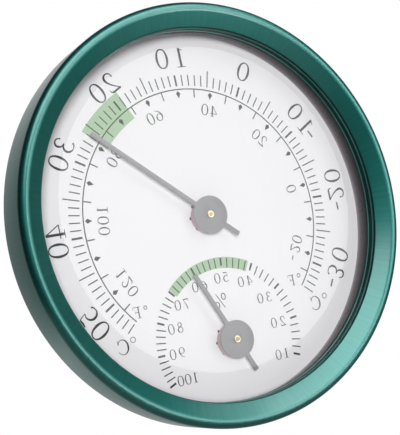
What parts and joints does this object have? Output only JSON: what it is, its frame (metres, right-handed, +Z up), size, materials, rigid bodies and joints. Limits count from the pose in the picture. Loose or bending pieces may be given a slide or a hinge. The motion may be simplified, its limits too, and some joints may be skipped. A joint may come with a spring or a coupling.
{
  "type": "outdoor thermometer",
  "caption": "Round wall dial in a turned metal ring, with a long temperature hand and a short humidity hand on bimetal spirals behind flat glass.",
  "frame": {"origin": "centre of the keyhole's entry on the flat back, where the instrument hangs on its nail", "axes": "+Z up, -Y out of the dial towards the viewer, +Y into the wall, +X to the viewer's right"},
  "size_m": [0.1, 0.0185, 0.1],
  "materials": {
    "bezel_metal": "fine turned, anodised satin green",
    "glass": "clear flat glass",
    "gasket_rubber": "black",
    "spacer_plastic": "dark grey, smooth",
    "dial_white": "white, satin",
    "plate_plastic": "moulded black",
    "seal_foam": "closed foam",
    "cover_plastic": "moulded, fine grain",
    "screw_steel": "zinc plated",
    "bush_brass": "turned",
    "stem_brass": "turned",
    "spring_steel": "rolled",
    "pin_brass": "drawn",
    "bimetal": "rolled strip, pale copper",
    "hand_grey": "matt grey",
    "eyelet_gold": "bright gold"
  },
  "bodies": {
    "case": {"bezel_ring": "bezel_metal", "front_glass": "glass", "glass_gasket": "gasket_rubber", "spacer_ring": "spacer_plastic", "dial_plate": "dial_white", "movement_plate": "plate_plastic", "back_seal": "seal_foam", "back_cover": "cover_plastic", "back_screws": "screw_steel", "temp_bush": "bush_brass", "hum_bush": "bush_brass"},
    "temp_setting": {"temp_adjuster": "stem_brass", "temp_washer": "spring_steel", "temp_retainer": "spring_steel", "temp_arbor": "pin_brass", "temp_coil": "bimetal"},
    "temp_hand": {"temp_pointer": "hand_grey", "temp_eyelet": "eyelet_gold"},
    "hum_setting": {"hum_adjuster": "stem_brass", "hum_washer": "spring_steel", "hum_retainer": "spring_steel", "hum_arbor": "pin_brass", "hum_coil": "bimetal"},
    "hum_hand": {"hum_pointer": "hand_grey", "hum_eyelet": "eyelet_gold"}
  },
  "joints": [
    {"name": "temp_adjust", "type": "hinge", "parent": "case", "child": "temp_setting", "pos_m": [0, -0.008, -0.026], "axis": [0, -1, 0], "range_deg": [-6, 6]},
    {"name": "temp_reading", "type": "hinge", "parent": "temp_setting", "child": "temp_hand", "pos_m": [0, -0.011, -0.026], "axis": [0, -1, 0], "range_deg": [-181, 83], "stiffness_Nm_per_rad": 0.0008, "deforming": ["temp_coil"]},
    {"name": "hum_adjust", "type": "hinge", "parent": "case", "child": "hum_setting", "pos_m": [0, -0.008, -0.05608], "axis": [0, -1, 0], "range_deg": [-10, 10]},
    {"name": "hum_reading", "type": "hinge", "parent": "hum_setting", "child": "hum_hand", "pos_m": [0, -0.011, -0.05608], "axis": [0, -1, 0], "range_deg": [-136, 87.6], "stiffness_Nm_per_rad": 0.0008, "deforming": ["hum_coil"]}
  ]
}
